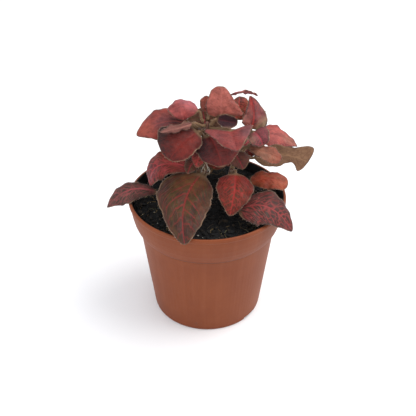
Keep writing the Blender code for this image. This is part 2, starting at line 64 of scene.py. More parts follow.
# Leaves are named without "leaf_", and their finishes without "_leaf".
# A leaf grows at the height node on its stem. Its midrib runs from base over crest to tip, and
# left and right are how far the margins are from it at the MARGIN_SHARES of its length, looking
# from base to tip. face is where the upper side looks, as azimuth and elevation in degrees. fold
# lifts the two halves from the midrib and curl bends them on towards the margins, in degrees.
# lobes is how far the halves lean back past the base, as a share of their width.
Leaf = namedtuple("Leaf", "stem node base crest tip left right face finish fold curl lobes",
                  defaults=(5, -25, 0))
LEAVES = {
    # The low leaves, which lie over the soil and the rim
    "front": Leaf("main", 90, (-3, -5.5, 92.5), (-12, -26, 87), (-11.5, -47.5, 75.5),
        (11, 14, 13, 10, 5.5), (14, 17, 14, 9, 4), (-92, 65), "bronze"),
    "front_right": Leaf("right", 88, (15.5, -9, 95), (14.5, -19, 89), (12, -27.5, 79.5),
        (8.5, 10.5, 9, 6.5, 3), (9, 10.5, 9, 6.5, 3), (-90, 45), "red"),
    "low_right": Leaf("right", 76, (16.5, -21, 79), (32.5, -23, 82.5), (46.5, -27.5, 69.5),
        (6, 9.5, 11, 9, 4), (11, 13, 12, 8.5, 4), (-80, 70), "mauve", curl=-15),
    "right": Leaf("right", 84, (24, 0, 84), (34.5, 0, 86), (46, 0, 82.3),
        (4.5, 5.5, 5.5, 5.5, 4.5), (4.5, 6.5, 6.5, 6.5, 5), (-90, 65), "coral"),
    "low_left": Leaf("main", 76, (-28, -4, 79), (-43.5, -5, 81.7), (-57, -7.5, 71.5),
        (4, 7, 8, 6.5, 3), (3.5, 4.5, 6, 5, 2), (-95, 65), "mauve"),
    "left": Leaf("main", 94, (-7.5, -2, 94), (-26.5, -0.5, 95), (-32.5, -3, 83),
        (5.5, 7, 8.5, 8.5, 5.5), (5, 8, 9, 9, 7), (-115, 60), "red"),
    # The crown
    "crown_left": Leaf("main", 117, (-10.5, 2, 119.5), (-24, 2.5, 120.3), (-38, -2, 114.5),
        (5, 8, 9, 8.5, 4), (5, 9, 9, 6.5, 3), (-100, 57), "pink"),
    "crown_top_left": Leaf("main", 121, (-4.5, 2, 127), (-12.5, 2, 130.5), (-20.5, -1, 128),
        (6, 8, 8.5, 8.5, 6), (4.5, 6, 6.5, 6, 4), (-90, 60), "pink", curl=-60),
    "crown_front_left": Leaf("main", 113, (-5, -5.5, 118.6), (-13.5, -12.5, 115), (-20, -18, 108.5),
        (6.5, 8, 8.2, 7, 4), (7, 12, 15, 13, 7), (-105, 37), "crimson", lobes=0.2),
    "crown_left_curled": Leaf(
        "main", 119, (-8, -5, 123.4), (-15.5, -8.2, 122.6), (-25, -8.7, 120.5),
        (3, 4, 4, 3.5, 1.5), (3, 3.5, 3.5, 3, 1.5), (90, 28), "pink"),
    "crown_top": Leaf("main", 121, (8, 3, 124), (7.5, 5, 131.5), (8.5, 9.5, 138),
        (7, 8.5, 8, 7, 5), (12, 10.5, 8.5, 6, 3), (-90, 30), "salmon", curl=-35, lobes=0.4),
    "crown_young": Leaf("main", 119.6, (5.2, -0.5, 123.6), (10.7, -1.2, 122.7), (16.2, -1.4, 121.7),
        (3.5, 4.5, 4.5, 4, 2.5), (3, 4.1, 4.1, 3.7, 2), (-90, 20), "purple", fold=15, curl=40),
    "bud": Leaf("main", 115.5, (-2.4, -2.2, 118.4), (-2.9, -3.6, 119.7), (-3.3, -5, 120.1),
        (1.4, 2, 2, 1.7, 0.9), (1.4, 2, 2, 1.7, 0.9), (-110, 50), "purple", fold=20, curl=-50),
    "crown_top_back": Leaf("main", 121, (0.5, 6, 124.5), (-0.5, 8, 128.5), (0, 9.5, 132.5),
        (2.5, 3.5, 3.5, 3, 1.5), (2, 3, 3, 2.5, 1.5), (-90, 30), "salmon"),
    "crown_middle": Leaf("main", 112, (-0.5, 6, 112.5), (-1.5, 8.7, 118), (-2.5, 12, 124.5),
        (8, 10.5, 10, 8, 4), (9, 11.5, 11, 9, 6), (-90, 35), "bronze"),
    "crown_back_right": Leaf("main", 116, (15.5, 8, 119), (17, 10.5, 124.5), (17.5, 13, 130.5),
        (5, 6, 5.5, 4.5, 2), (5, 6, 6.5, 6, 4), (-90, 35), "red"),
    "crown_thin": Leaf("back", 107, (12, 15, 130.5), (21, 18, 131), (28, 20, 127.5),
        (3.51, 4.5, 4.23, 3.06, 1.35), (3.12, 4, 3.76, 2.72, 1.2), (90, 55), "pink"),
    "crown_right": Leaf("right", 109, (24, 6, 114.5), (25.3, 7, 123.5), (22.7, 8, 133),
        (6.5, 6.8, 5.2, 3.5, 1.5), (6.5, 7.5, 6, 4, 2), (-90, 15), "crimson", fold=30),
    "far_right": Leaf("right", 108, (29, 10, 108), (40, 12, 106.5), (51, 11, 100.5),
        (6, 8.5, 7, 4.5, 2), (7.5, 9, 8, 5.5, 2), (-65, 65), "pink"),
    "turned_right": Leaf("right", 99, (26, 1, 99), (42, 0, 101.5), (55.7, -2, 98),
        (7, 7.5, 6, 5, 8), (4.5, 6, 6, 6.5, 9.5), (90, 0), "mauve", curl=-10),
    "small_right": Leaf("right", 106, (25, -0.5, 116), (28, -4, 114.5), (30, -5.5, 110),
        (5.5, 6.2, 6.2, 5, 2.8), (5.5, 7.2, 7.2, 5.8, 3), (-70, 50), "mauve", fold=25),
    "mid_right": Leaf("right", 103, (22, -4.5, 108.7), (31, -8, 107.7), (40, -10.5, 104.3),
        (2.5, 4, 5, 5, 3), (2.5, 4, 5, 5, 3.5), (-90, 60), "salmon"),
    "crown_front": Leaf("main", 117.8, (12.5, -6, 119.5), (13.5, -12.5, 118.5), (15.5, -20, 115),
        (11, 12, 9, 6, 3), (13, 12.5, 9.5, 7, 3), (-85, 45), "pink", fold=15, lobes=0.5),
    "crown_under_right": Leaf("main", 109, (1, -5, 116.5), (5, -9.7, 110.7), (8, -15, 102.5),
        (3, 11.5, 15, 12.5, 6.5), (9, 11, 11, 9, 4.5), (-90, 35), "crimson", lobes=0.5),
    "crown_under": Leaf("main", 104, (-3, -3, 107), (-4.5, -6, 104.5), (-6, -9.5, 98.7),
        (3.5, 5, 5, 4, 2), (3.5, 4.5, 4.5, 3.5, 1.5), (-95, 30), "red"),
    "inner_left": Leaf("main", 98, (-6, -0.5, 97.5), (-9, -3, 96.5), (-11, -6, 92.5),
        (3.51, 4.5, 4.23, 3.06, 1.35), (3.12, 4, 3.76, 2.72, 1.2), (-100, 40), "bronze"),
    "shade_right": Leaf("main", 98, (15, 1.5, 102), (17.5, -3, 99.7), (20, -5.5, 95.3),
        (4.5, 6, 6.5, 5, 2.5), (4.5, 5.5, 5, 3.5, 1.5), (-90, 40), "bronze"),
    # Round the back
    "back_low": Leaf("back", 86, (-4, 19, 88), (-3, 33, 89), (-1, 47.6, 80),
        (11, 14, 13, 9, 4), (10, 13, 12.5, 9.5, 5), (90, 65), "bronze"),
    "back_low_left": Leaf("back", 76, (-14, 17, 79), (-24, 22, 81), (-33, 26, 78),
        (6, 8, 8, 6.5, 3.5), (6.5, 8.5, 8, 5.5, 2.5), (130, 65), "mauve"),
    "back_right": Leaf("right", 88, (18, 16, 90), (27, 27, 92), (34, 36, 84),
        (8, 10, 9, 6.5, 3), (7, 9.5, 9.5, 7.5, 4), (60, 65), "red"),
    "back_far_right": Leaf("right", 97, (25, 14, 101), (35, 19, 102), (43, 23, 95),
        (6.5, 9, 8.5, 6, 3), (6, 8, 8, 6, 2.5), (60, 70), "crimson"),
    "back_crown": Leaf("back", 103, (-5, 18, 109), (-6, 28, 109), (-7, 37, 101),
        (8, 11, 10.5, 8, 4), (9, 11, 10, 7, 3), (90, 60), "pink"),
    "back_crown_left": Leaf("back", 105, (-12, 12, 112), (-22, 15, 113.5), (-32, 18, 106),
        (7, 9, 8.5, 6, 2.5), (6.5, 9, 9, 7, 3.5), (110, 65), "red"),
    "back_crown_right": Leaf("back", 97, (2, 18, 101), (9, 26, 100), (15, 33, 91),
        (7, 9.5, 9.5, 7.5, 4), (7.5, 9, 8.5, 6, 2.5), (75, 60), "crimson"),
    "back_left": Leaf("back", 100, (-14, 17, 103), (-24, 23, 104), (-33, 28, 97),
        (7, 9.5, 9, 6.5, 3), (6, 8, 8, 6.5, 3.5), (130, 60), "pink"),
    "back_mid_left": Leaf("back", 92, (-11, 19, 97), (-18, 27, 97), (-22, 35, 89),
        (7.5, 9.5, 8.5, 6, 2.5), (7, 9.5, 9, 7, 4), (115, 60), "crimson"),
    "back_mid_right": Leaf("right", 94, (20, 15, 98), (24, 23, 99), (27, 31, 93),
        (5.5, 7.5, 7.5, 6, 3), (6, 7.5, 7, 5, 2), (85, 60), "pink"),
    "back_upper": Leaf("back", 106, (-3, 17, 115), (-4, 24, 115.5), (-5, 31, 110),
        (6, 8, 7.5, 5, 2), (6.5, 8, 8, 6, 3), (95, 60), "pink"),
    "back_upper_right": Leaf("right", 109, (24, 13, 116), (27, 19, 119), (29, 25, 115),
        (5, 6, 5.5, 4, 2), (4.5, 6, 6, 4.5, 2), (70, 55), "red"),
    "back_low_right": Leaf("back", 79, (3, 18, 81), (8, 26, 83), (12, 34, 78),
        (6, 7.5, 7, 5, 2.5), (5.5, 7.5, 7.5, 6, 3), (70, 65), "red"),
}
SEEDS = {name: 1 + 0.73 * i for i, name in enumerate(LEAVES)}

# How fine the leaf skins are
STALK_RINGS = 9
STATIONS_LEAST = 16
STATIONS_PER_MM = 0.85
ACROSS_LEAST = 9
ACROSS_PER_MM = 0.35

# The relief of a leaf
BLADE_THICKNESS = 0.42
RIB_DEPTH = 0.5  # how far the midrib stands out below the blade, at its base
RIB_WIDTH = 0.8
RIB_GROOVE = 0.22  # how deep the midrib lies in the upper side
TIP_RADIUS = 0.14
TIP_SWELL_LEAST = 0.4  # how blunt a margin's tip stays
WAVES = 2.3  # waves along each margin
WAVE_HEIGHT = 0.55
UNEVEN = 0.035  # how much the margins swing in and out, as a share of the width
VEINS = 6  # side veins on each half
VEIN_LEAN = 0.56  # how far towards the tip a side vein has bent at the margin
VEIN_BEND = 1.2
VEIN_STEP = 0.35  # how far the side veins of the two halves are out of step
PUFF = 0.26  # how far the blade rises between its side veins
CRINKLE = 0.34  # how far the blade buckles up and down
CRINKLE_SIZES = (10.5, 8)  # its wavelengths along and across the leaf
UNDER_VEINS = 0.1  # how far the side veins stand out below
STALK_FOOT = 0.35  # how much wider a stalk is at its stem, as a share


# --- colours


def rgb(red, green, blue):
    """A colour as it looks on a screen, 0 to 255, as linear values."""
    parts = (red / 255, green / 255, blue / 255)
    return tuple(p / 12.92 if p <= 0.04045 else ((p + 0.055) / 1.055) ** 2.4 for p in parts)


# patch: the blade between its veins, and blotch: what the patches turn to in places. vein: the
# midrib and side veins. veins, net and flecks: how strong the side veins, the fine net between
# them and the pale flecks on the midrib are.
Look = namedtuple("Look", "patch blotch vein veins net flecks")
LOOKS = {
    "bronze": Look(rgb(86, 68, 36), rgb(78, 48, 40), rgb(162, 48, 58), 0.7, 0.25, 1),
    "red": Look(rgb(140, 52, 40), rgb(112, 62, 44), rgb(208, 72, 72), 0.95, 0.8, 0.1),
    "mauve": Look(rgb(94, 48, 48), rgb(76, 50, 46), rgb(178, 70, 80), 0.8, 0.75, 0.2),
    "coral": Look(rgb(180, 66, 42), rgb(168, 78, 48), rgb(192, 72, 54), 0.3, 0.3, 0),
    "crimson": Look(rgb(144, 44, 42), rgb(110, 40, 42), rgb(180, 52, 52), 0.5, 0.35, 0.1),
    "pink": Look(rgb(180, 70, 70), rgb(156, 62, 64), rgb(192, 78, 80), 0.35, 0.3, 0),
    "salmon": Look(rgb(184, 80, 66), rgb(168, 72, 58), rgb(198, 92, 78), 0.35, 0.3, 0),
    "purple": Look(rgb(68, 32, 40), rgb(54, 32, 36), rgb(108, 46, 52), 0.4, 0.2, 0),
}
WHITE = (1, 1, 1)
# painted light and shade on the leaves, in random clouds
CLOUD_DARK, CLOUD_PALE = (0.62, 0.58, 0.62), (1.3, 1.3, 1.28)
CELL_DARK = (0.62, 0.7, 0.64)
GRAIN_DARK = rgb(120, 120, 120)
FLECK = rgb(226, 168, 160)
UNDER_TAN, UNDER_BROWN = rgb(184, 150, 116), rgb(156, 118, 96)
UNDER_NET, UNDER_RIB = rgb(128, 92, 70), rgb(196, 158, 122)
RIM_DARK, RIM_PALE = rgb(66, 48, 44), rgb(128, 98, 76)
STALK_OLIVE, STALK_BROWN = rgb(104, 86, 58), rgb(126, 92, 70)

# How red, green and blue single leaves look beside their finish on a screen, in percent
SCREEN_POWER = 2.2  # from brightness on a screen to light
TINTS = {
    "front": (83, 78, 66), "front_right": (74, 61, 54), "low_right": (83, 79, 69),
    "right": (86, 92, 90), "low_left": (92, 106, 96), "left": (85, 90, 92),
    "crown_left": (83, 93, 81), "crown_top_left": (90, 102, 97), "crown_front_left": (66, 62, 52),
    "crown_left_curled": (90, 75, 86), "crown_top": (93, 112, 118),
    "crown_back_right": (102, 120, 112), "crown_thin": (100, 74, 95),
    "crown_right": (120, 138, 130), "far_right": (95, 114, 105), "turned_right": (79, 74, 71),
    "mid_right": (81, 96, 88), "crown_front": (78, 84, 78), "crown_under_right": (74, 78, 72),
}

# Places on single leaves that are toned: along and across the blade, reach, colour, strength.
# Some of these tones are painted shade or a painted sheen, as marked.
TONES = {
    "front": [(0.95, 0, 0.4, (72, 42, 38), 0.85), (0.05, 0, 0.4, (134, 92, 60), 0.7),
        (0.5, -1, 0.25, (96, 66, 56), 0.6)],
    "front_right": [(0.05, 0, 0.35, (186, 72, 56), 0.5), (0.75, 0, 0.6, (150, 96, 62), 0.3)],
    "low_left": [(0.5, 0, 0.9, (80, 54, 48), 0.35)],
    "left": [(0.1, 0, 0.45, (178, 52, 50), 0.45), (0.8, 0, 0.45, (120, 54, 64), 0.55)],
    "right": [(0.9, 0, 0.4, (188, 94, 68), 0.7)],
    # crown_left: the dark plum near its base is a painted shadow of crown_top_left
    "crown_left": [(0.95, 0, 0.45, (184, 80, 72), 0.6), (0.48, 0, 0.28, (150, 72, 86), 0.85),
        (0.2, 0, 0.25, (74, 36, 48), 0.95)],
    # crown_top_left: the pale pink on its right half is a painted sheen
    "crown_top_left": [(0.3, 0.6, 0.5, (200, 104, 118), 0.6)],
    "crown_left_curled": [(0.5, 0, 0.9, (156, 104, 100), 0.65),
        (0.5, 0.2, 0.25, (190, 84, 88), 0.6)],
    # crown_front_left: the dark tone on its right half is painted shadow from the leaves above
    "crown_front_left": [(0.5, 1, 0.6, (70, 34, 38), 0.95), (0.45, -0.3, 0.5, (174, 55, 49), 0.85)],
    "crown_back_right": [(1, 0, 0.4, (88, 58, 62), 0.85)],
    "crown_right": [(0.4, -0.8, 0.5, (126, 70, 68), 0.85), (0.5, 0.6, 0.5, (132, 78, 82), 0.7),
        (0.1, 0.9, 0.4, (150, 114, 92), 0.8), (0.85, -1, 0.3, (70, 48, 54), 0.8),
        (1, 0, 0.16, (48, 40, 46), 0.95)],
    "far_right": [(0.9, 0, 0.4, (176, 104, 92), 0.6)],
    "small_right": [(0.4, 0.9, 0.35, (150, 110, 90), 0.8), (0.4, -0.3, 0.5, (146, 80, 84), 0.6)],
    "crown_front": [(0.35, -0.9, 0.4, (148, 84, 96), 0.8), (0.35, 0.9, 0.4, (168, 84, 92), 0.5)],
    # crown_under_right: the dark plum on its right half is painted shade under crown_front
    "crown_under_right": [(0.35, 1, 0.62, (58, 30, 38), 0.95),
        (0.6, -0.4, 0.6, (138, 52, 52), 0.6)],
    # crown_under: the dark tone over its base half is painted shade
    "crown_under": [(0.3, 0.5, 0.5, (70, 38, 44), 0.8)],
    "bud": [(0.5, 0, 0.9, (52, 46, 34), 0.8)],
    # crown_young: the dark plum over most of it is painted shade, for the hollow in the crown where
    # it sits
    "crown_young": [(0.5, 0, 0.7, (66, 36, 44), 0.8), (0.7, 1.3, 0.4, (140, 104, 84), 0.8)],
    # crown_middle: the brown over most of it is painted shade, deep in the crown
    "crown_middle": [(0.4, 0, 1, (118, 86, 66), 0.8)],
    "crown_top_back": [(0.4, 0, 0.8, (150, 92, 76), 0.6)],
    "mid_right": [(0.3, 0.3, 0.7, (170, 108, 94), 0.6)],
    "shade_right": [(0.5, 0, 0.8, (112, 66, 58), 0.6)],
}


# --- shapes


def unit(vectors):
    """A vector, or each of several, at length 1."""
    return vectors / np.linalg.norm(vectors, axis=-1, keepdims=True)


def square_to(along, vector):
    """The part of a vector square to one direction, or to each of several, at length 1."""
    return unit(vector - (along @ vector)[..., None] * along)


def smooth(low, high, value):
    """A soft step from 0 below low to 1 above high."""
    t = np.clip((value - low) / (high - low), 0, 1)
    return t * t * (3 - 2 * t)


def smooth_route(route, points=STEM_POINTS):
    """A Catmull-Rom curve through the route's points."""
    p = np.array(route, float)
    ends = np.vstack([2 * p[0] - p[1], p, 2 * p[-1] - p[-2]])
    t = np.linspace(0, 1, points, endpoint=False)[:, None]
    spans = []
    for a, b, c, d in zip(ends, ends[1:], ends[2:], ends[3:]):
        bend = (2 * a - 5 * b + 4 * c - d) * t**2 + (3 * b - a - 3 * c + d) * t**3
        spans.append(0.5 * (2 * b + (c - a) * t + bend))
    return np.vstack([*spans, p[-1:]])


def length_of(line):
    return np.linalg.norm(np.diff(line, axis=0), axis=1).sum()


def stem_at(stem, height):
    """The centre of a stem at a height, and the direction it grows in."""
    line = smooth_route(STEMS[stem])
    i = int(np.argmin(np.abs(line[:, 2] - height)))
    direction = unit(line[min(i + 1, len(line) - 1)] - line[max(i - 1, 0)])
    return line[i] + direction * (height - line[i][2]) / direction[2], direction


def margin(widths, s):
    """How far a margin is from the midrib at the shares s: a smooth curve through the widths."""
    at = np.array([0.0, *MARGIN_SHARES, 1.0])
    swell = np.array(widths) / np.sqrt(MARGIN_SHARES * (1 - MARGIN_SHARES))
    end = max(TIP_SWELL_LEAST * swell[-1], 1.6 * swell[-1] - 0.6 * swell[-2])
    swell = np.array([swell[0], *swell, end])
    slope = np.gradient(swell, at)
    i = np.clip(np.searchsorted(at, s, side="right") - 1, 0, len(at) - 2)
    step = at[i + 1] - at[i]
    t = (s - at[i]) / step
    ends = swell[i] * (1 + 2 * t) * (1 - t) ** 2 + swell[i + 1] * t**2 * (3 - 2 * t)
    bend = step * (slope[i] * t * (1 - t) ** 2 - slope[i + 1] * t**2 * (1 - t))
    return (ends + bend) * np.sqrt(s * (1 - s))


def uneven(s, seed):
    """How a margin swings in and out along the leaf, as shares of its width."""
    swing = np.sin(TAU * 1.4 * s + seed) + 0.7 * np.sin(TAU * 3.3 * s + 2.1 * seed)
    return 1 + UNEVEN * (swing + 0.5 * np.sin(TAU * 7.7 * s + 3.7 * seed))


def midrib(shape, s):
    """Points on the midrib at the shares s of its length."""
    base, crest, tip = (np.array(p, float) for p in (shape.base, shape.crest, shape.tip))
    middle = 2 * crest - (base + tip) / 2
    s = s[:, None]
    return (1 - s) ** 2 * base + 2 * s * (1 - s) * middle + s**2 * tip


def blade_frames(shape, s):
    """The midrib's points, directions, directions to the right and upper-face normals."""
    before, after = (midrib(shape, np.clip(s + step, 0, 1)) for step in (-0.001, 0.001))
    along = unit(after - before)
    a, e = np.radians(shape.face)
    face = (np.cos(a) * np.cos(e), np.sin(a) * np.cos(e), np.sin(e))
    chord = unit(np.subtract(shape.tip, shape.base))
    side = square_to(along, unit(np.cross(chord, face)))
    return midrib(shape, s), along, side, np.cross(side, along)


def stalk_line(shape):
    """The stalk's centre line, which leaves its stem squarely and runs into the midrib."""
    centre, direction = stem_at(shape.stem, shape.node)
    base = np.array(shape.base, float)
    out = square_to(direction, base - centre)
    start = centre + out * (STEM_RADIUS + GAP)
    _, along, side, _ = blade_frames(shape, np.array([0.0]))
    reach = STALK_REACH * np.linalg.norm(base - start)
    a, b = start + out * reach, base - along[0] * reach
    t = np.linspace(0, 1, STALK_RINGS + 1)[:, None]
    line = (1 - t) ** 3 * start + 3 * t * (1 - t) ** 2 * a + 3 * t**2 * (1 - t) * b + t**3 * base
    forward = unit(np.gradient(line, axis=0))
    right = square_to(forward, side[0])
    return line[:-1], right[:-1], np.cross(right, forward)[:-1]


def leaf_places(shape):
    """The shares of length and half-width at which a leaf's skin has points, and its length."""
    length = np.linalg.norm(np.subtract(shape.tip, shape.base))
    s = np.linspace(0, 1, int(STATIONS_LEAST + length * STATIONS_PER_MM))
    half = 2 * int(ACROSS_LEAST + (max(shape.left) + max(shape.right)) * ACROSS_PER_MM)
    k = np.arange(half + 1) / half
    return 0.5 * s + 0.25 * (1 - np.cos(np.pi * s)), k - 0.5 - 0.5 * np.cos(np.pi * k), length


def vein_share(s, reach):
    """Where on the midrib the side vein through a place begins. Side veins bend to the tip.

    It takes numbers for a mesh and node values for a material, so that the two agree.
    """
    lean = VEIN_LEAN * reach**VEIN_BEND
    return (s - lean) / (1 - lean)


def blade_relief(shape, seed, S, C, W, length):
    """How far the blade is beside its midrib and above it, and its thickness.

    S and C are shares of the length and of the half-width, and W is the half-width.
    """
    R = np.abs(C)
    fold, curl = math.radians(shape.fold), math.radians(shape.curl)
    out = (np.sin(fold + curl * R) - math.sin(fold)) / curl * np.sign(C) * W
    lift = (math.cos(fold) - np.cos(fold + curl * R)) / curl * W
    # waves along the margins
    phase, turn = seed * np.where(C > 0, 7.0, 13.0), TAU * WAVES * S
    wave = np.sin(turn + phase) + 0.6 * np.sin(2.3 * turn + 1.7 * phase)
    lift += WAVE_HEIGHT * R**2 * wave * np.sin(np.pi * S)
    # buckles all over
    turn_along = TAU * S * length / CRINKLE_SIZES[0] + seed
    turn_across = TAU * C * W / CRINKLE_SIZES[1] + 1.9 * seed
    crinkle = np.sin(turn_along + 0.7 * np.sin(turn_across))
    crinkle *= np.cos(turn_across + 0.5 * turn_along)
    lift += CRINKLE * crinkle * smooth(0, 4, R * W) * smooth(0, 0.2, S)
    # swellings between the side veins, and the midrib
    puff = 0.5 - 0.5 * np.cos(TAU * VEINS * vein_share(S, R))
    calm = smooth(0, 0.25, R) * (1 - smooth(0.8, 1, R))
    calm *= smooth(0, 0.15, S) * (1 - smooth(0.8, 1, S))
    rib = np.exp(-((R * W / RIB_WIDTH) ** 2)) * smooth(0, 0.1, S)
    lift += PUFF * puff * calm - RIB_GROOVE * rib
    thick = BLADE_THICKNESS * np.sqrt(1 - R**6) * smooth(-0.2, 1.2, W)
    thick += RIB_DEPTH * rib * (1 - smooth(0, 0.8, S)) + UNDER_VEINS * (1 - puff) * calm
    return out, lift, thick


def around(upper, lower):
    """Rings over the upper side of a blade and back along its lower side."""
    return np.concatenate([upper, lower[:, -2:0:-1]], axis=1)


def spokes_of(right, up, turns):
    """Directions out of a line, at each of its points and for each turn."""
    return right[:, None] * np.cos(turns)[:, None] + up[:, None] * np.sin(turns)[:, None]


def leaf_skin(shape, seed):
    """Rings of points from the stalk's start to the leaf's tip, with what the material reads."""
    s, across, length = leaf_places(shape)
    points, along, side, normal = blade_frames(shape, s)
    left = np.maximum(margin(shape.left, s) * uneven(s, 2 * seed), TIP_RADIUS)
    right = np.maximum(margin(shape.right, s) * uneven(s, 5 * seed), TIP_RADIUS)
    S, C = np.meshgrid(s, across, indexing="ij")
    R = np.abs(C)
    W = left[:, None] + (right - left)[:, None] * smooth(-0.1, 0.1, C)
    out, lift, thick = blade_relief(shape, seed, S, C, W, length)
    back = shape.lobes * R**2 * (1 - S) * W
    upper = points[:, None] + side[:, None] * out[..., None] + normal[:, None] * lift[..., None]
    upper -= along[:, None] * back[..., None]
    face = unit(np.cross(np.gradient(upper, axis=1), along[:, None]))
    ring = around(upper, upper - face * thick[..., None])
    # a round stalk, which flattens into the blade
    count = ring.shape[1]
    turns = np.pi * (1 - np.arange(count) / (len(across) - 1))
    line, line_side, line_normal = stalk_line(shape)
    foot = 1 + STALK_FOOT * np.exp(-np.arange(len(line)) / 1.5)
    radius = STALK_RADIUS * np.concatenate([foot, np.ones(len(s))])
    spokes = spokes_of(np.vstack([line_side, side]), np.vstack([line_normal, normal]), turns)
    skin = np.vstack([line, points])[:, None] + spokes * radius[:, None, None]
    width = (left + right) / 2
    flat = np.where(s > 0.5, 1.0, smooth(0.6, 2.2, width / STALK_RADIUS))[:, None, None]
    skin[len(line):] += (ring - skin[len(line):]) * flat

    def whole(on_stalk, on_blade):
        return np.vstack([np.full((len(line), count), on_stalk),
                          np.broadcast_to(on_blade, (len(s), count))])

    rim = np.minimum((1 - R) * W, (1 - S) * length * 0.7 + 0.1)
    under = np.where(np.arange(count) < len(across), 0.0, 1.0)
    return skin, {
        "leaf_place": (whole(0.0, s[:, None]), whole(0.0, around(C, C)), whole(seed, seed)),
        "leaf_reach": (whole(9.0, around(rim, rim)), whole(0.0, around(R * W, R * W)),
                       whole(0.0, under)),
    }


def frames_along(line):
    """Directions and two square ones at each point of a line."""
    forward = unit(np.gradient(line, axis=0))
    right = unit(np.cross(forward, (0.0, 1.0, 0.2)))
    return forward, right, np.cross(forward, right)


def bands(rings, count, start=0):
    """Four-sided faces between rings of points, of which the first is number start."""
    k = np.arange(count)
    after = (k + 1) % count
    faces = []
    for low in range(start, start + (rings - 1) * count, count):
        high = low + count
        faces += np.stack([low + k, low + after, high + after, high + k], axis=1).tolist()
    return faces


def closed_tube(rings, count):
    """Faces of a closed skin over rings of points, with a flat end at each end."""
    last = (rings - 1) * count
    return bands(rings, count) + [list(range(count))[::-1], list(range(last, last + count))]


def tube(line, radius, sides):
    """The points and faces of a tube round a line, with a radius at each of its points."""
    _, right, up = frames_along(line)
    spokes = spokes_of(right, up, TAU * np.arange(sides) / sides)
    points = line[:, None] + spokes * np.reshape(radius, (-1, 1, 1))
    return points.reshape(-1, 3), closed_tube(len(line), sides)


def closed_ball(rings, count):
    """Faces of a closed skin over rings of points between a first and a last point."""
    pairs = [(k, (k + 1) % count) for k in range(count)]
    last = 1 + (rings - 1) * count
    faces = [[0, 1 + b, 1 + a] for a, b in pairs] + bands(rings, count, 1)
    return faces + [[last + a, last + b, last + count] for a, b in pairs]


class Heap:
    """Many small closed shapes, each with its colour, gathered for one mesh."""

    def __init__(self):
        self.points, self.faces, self.shades = [], [], []

    def add(self, points, faces, shade=WHITE):
        offset = len(self.points)
        self.points += np.asarray(points).tolist()
        self.faces += [[i + offset for i in face] for face in faces]
        self.shades += [(*shade, 1.0)] * len(points)


def add_mesh(name, points, faces, material):
    """A smooth mesh object, from points in millimetres."""
    data = bpy.data.meshes.new(name)
    data.from_pydata((np.asarray(points, float).reshape(-1, 3) * MM).tolist(), [], faces)
    data.validate()
    data.shade_smooth()
    data.materials.append(material)
    thing = bpy.data.objects.new(name, data)
    bpy.context.scene.collection.objects.link(thing)
    return thing


def add_piece(name, points, faces, material, slot, node=None):
    """A mesh object that rides with the plant, and stands for its CAD node if it has one."""
    piece = add_mesh(name, points, faces, material)
    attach(piece, "root")
    if node:
        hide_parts(node)
    return piece


def add_attribute(piece, name, kind, values):
    """Values at each point of a mesh, for its material."""
    field = {"FLOAT": "value", "FLOAT_VECTOR": "vector", "FLOAT_COLOR": "color"}[kind]
    attribute = piece.data.attributes.new(name, kind, "POINT")
    attribute.data.foreach_set(field, np.asarray(values, np.float32).ravel())


# --- materials


def sign(operation):
    return lambda *values: values[0].paint.math(operation, *values)


class Value:
    """What a node gives at each place on a surface, with the usual signs of arithmetic."""

    def __init__(self, paint, socket):
        self.paint, self.socket = paint, socket

    def __rsub__(self, other):
        return self.paint.math("SUBTRACT", other, self)

    __add__ = __radd__ = sign("ADD")
    __mul__ = __rmul__ = sign("MULTIPLY")
    __sub__, __truediv__ = sign("SUBTRACT"), sign("DIVIDE")
    __pow__, __abs__ = sign("POWER"), sign("ABSOLUTE")


